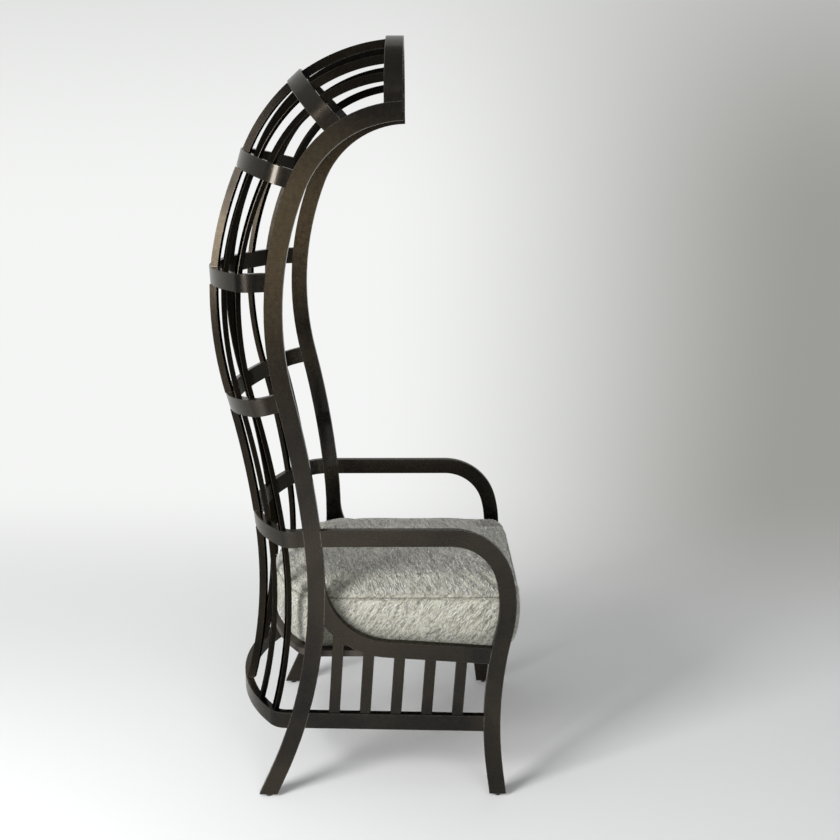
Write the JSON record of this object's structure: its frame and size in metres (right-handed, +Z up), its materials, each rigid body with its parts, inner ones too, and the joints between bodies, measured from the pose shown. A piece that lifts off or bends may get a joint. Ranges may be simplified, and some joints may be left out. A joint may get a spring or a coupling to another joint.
{
  "type": "hall porter chair",
  "caption": "Tall hooded porter chair in bronzed flat bar, with a slatted barrel back, curved arms, sabre legs and a loose hair-on-hide seat cushion.",
  "frame": {"origin": "on the floor, at the middle of the chair's width and depth", "axes": "+Z up along the uprights, +X across the chair towards the sitter's left, -Y the way the chair faces"},
  "size_m": [0.6, 0.7142, 1.7285],
  "materials": {
    "bronze": "dark bronze patina, finely brushed, waxed",
    "deck_wood": "plywood stained near black, satin",
    "screw_steel": "zinc plated",
    "hide": "grey salt-and-pepper hair-on hide",
    "foam": "soft upholstery foam",
    "glide_black": "matt black"
  },
  "bodies": {
    "frame": {"arm_hoop": "bronze", "back_hoop": "bronze", "base_hoop": "bronze", "crown_hoop": "bronze", "deck_screws": "screw_steel", "front_cross_rail": "bronze", "hood_front_arch": "bronze", "hood_hoop": "bronze", "left_arm_and_front_leg": "bronze", "left_base_rail": "bronze", "left_inner_back_slats": "bronze", "left_inner_hood_slats": "bronze", "left_middle_back_slats": "bronze", "left_middle_hood_slats": "bronze", "left_outer_back_slats": "bronze", "left_outer_hood_slats": "bronze", "left_seat_rail": "bronze", "left_side_slat_1": "bronze", "left_side_slat_2": "bronze", "left_side_slat_3": "bronze", "left_side_slat_4": "bronze", "left_side_slat_5": "bronze", "left_stile": "bronze", "rear_cross_rail": "bronze", "right_arm_and_front_leg": "bronze", "right_base_rail": "bronze", "right_inner_back_slats": "bronze", "right_inner_hood_slats": "bronze", "right_middle_back_slats": "bronze", "right_middle_hood_slats": "bronze", "right_outer_back_slats": "bronze", "right_outer_hood_slats": "bronze", "right_seat_rail": "bronze", "right_side_slat_1": "bronze", "right_side_slat_2": "bronze", "right_side_slat_3": "bronze", "right_side_slat_4": "bronze", "right_side_slat_5": "bronze", "right_stile": "bronze", "seat_deck": "deck_wood", "shoulder_hoop": "bronze"},
    "cushion": {"cushion_cover": "hide", "cushion_foam": "foam"},
    "right_front_foot": {"right_front_glide": "glide_black"},
    "left_front_foot": {"left_front_glide": "glide_black"},
    "right_rear_foot": {"right_rear_glide": "glide_black"},
    "left_rear_foot": {"left_rear_glide": "glide_black"}
  },
  "joints": [
    {"name": "cushion_lift", "type": "slide", "parent": "frame", "child": "cushion", "axis": [0, 0, 1], "range_m": [0, 0.25]},
    {"name": "right_front_glide_turn", "type": "hinge", "parent": "frame", "child": "right_front_foot", "pos_m": [-0.291, -0.31347, 0.014], "axis": [0, 0, 1], "continuous": true},
    {"name": "left_front_glide_turn", "type": "hinge", "parent": "frame", "child": "left_front_foot", "pos_m": [0.291, -0.31347, 0.014], "axis": [0, 0, 1], "continuous": true},
    {"name": "right_rear_glide_turn", "type": "hinge", "parent": "frame", "child": "right_rear_foot", "pos_m": [-0.291, 0.22579, 0.014], "axis": [0, 0, 1], "continuous": true},
    {"name": "left_rear_glide_turn", "type": "hinge", "parent": "frame", "child": "left_rear_foot", "pos_m": [0.291, 0.22579, 0.014], "axis": [0, 0, 1], "continuous": true}
  ]
}
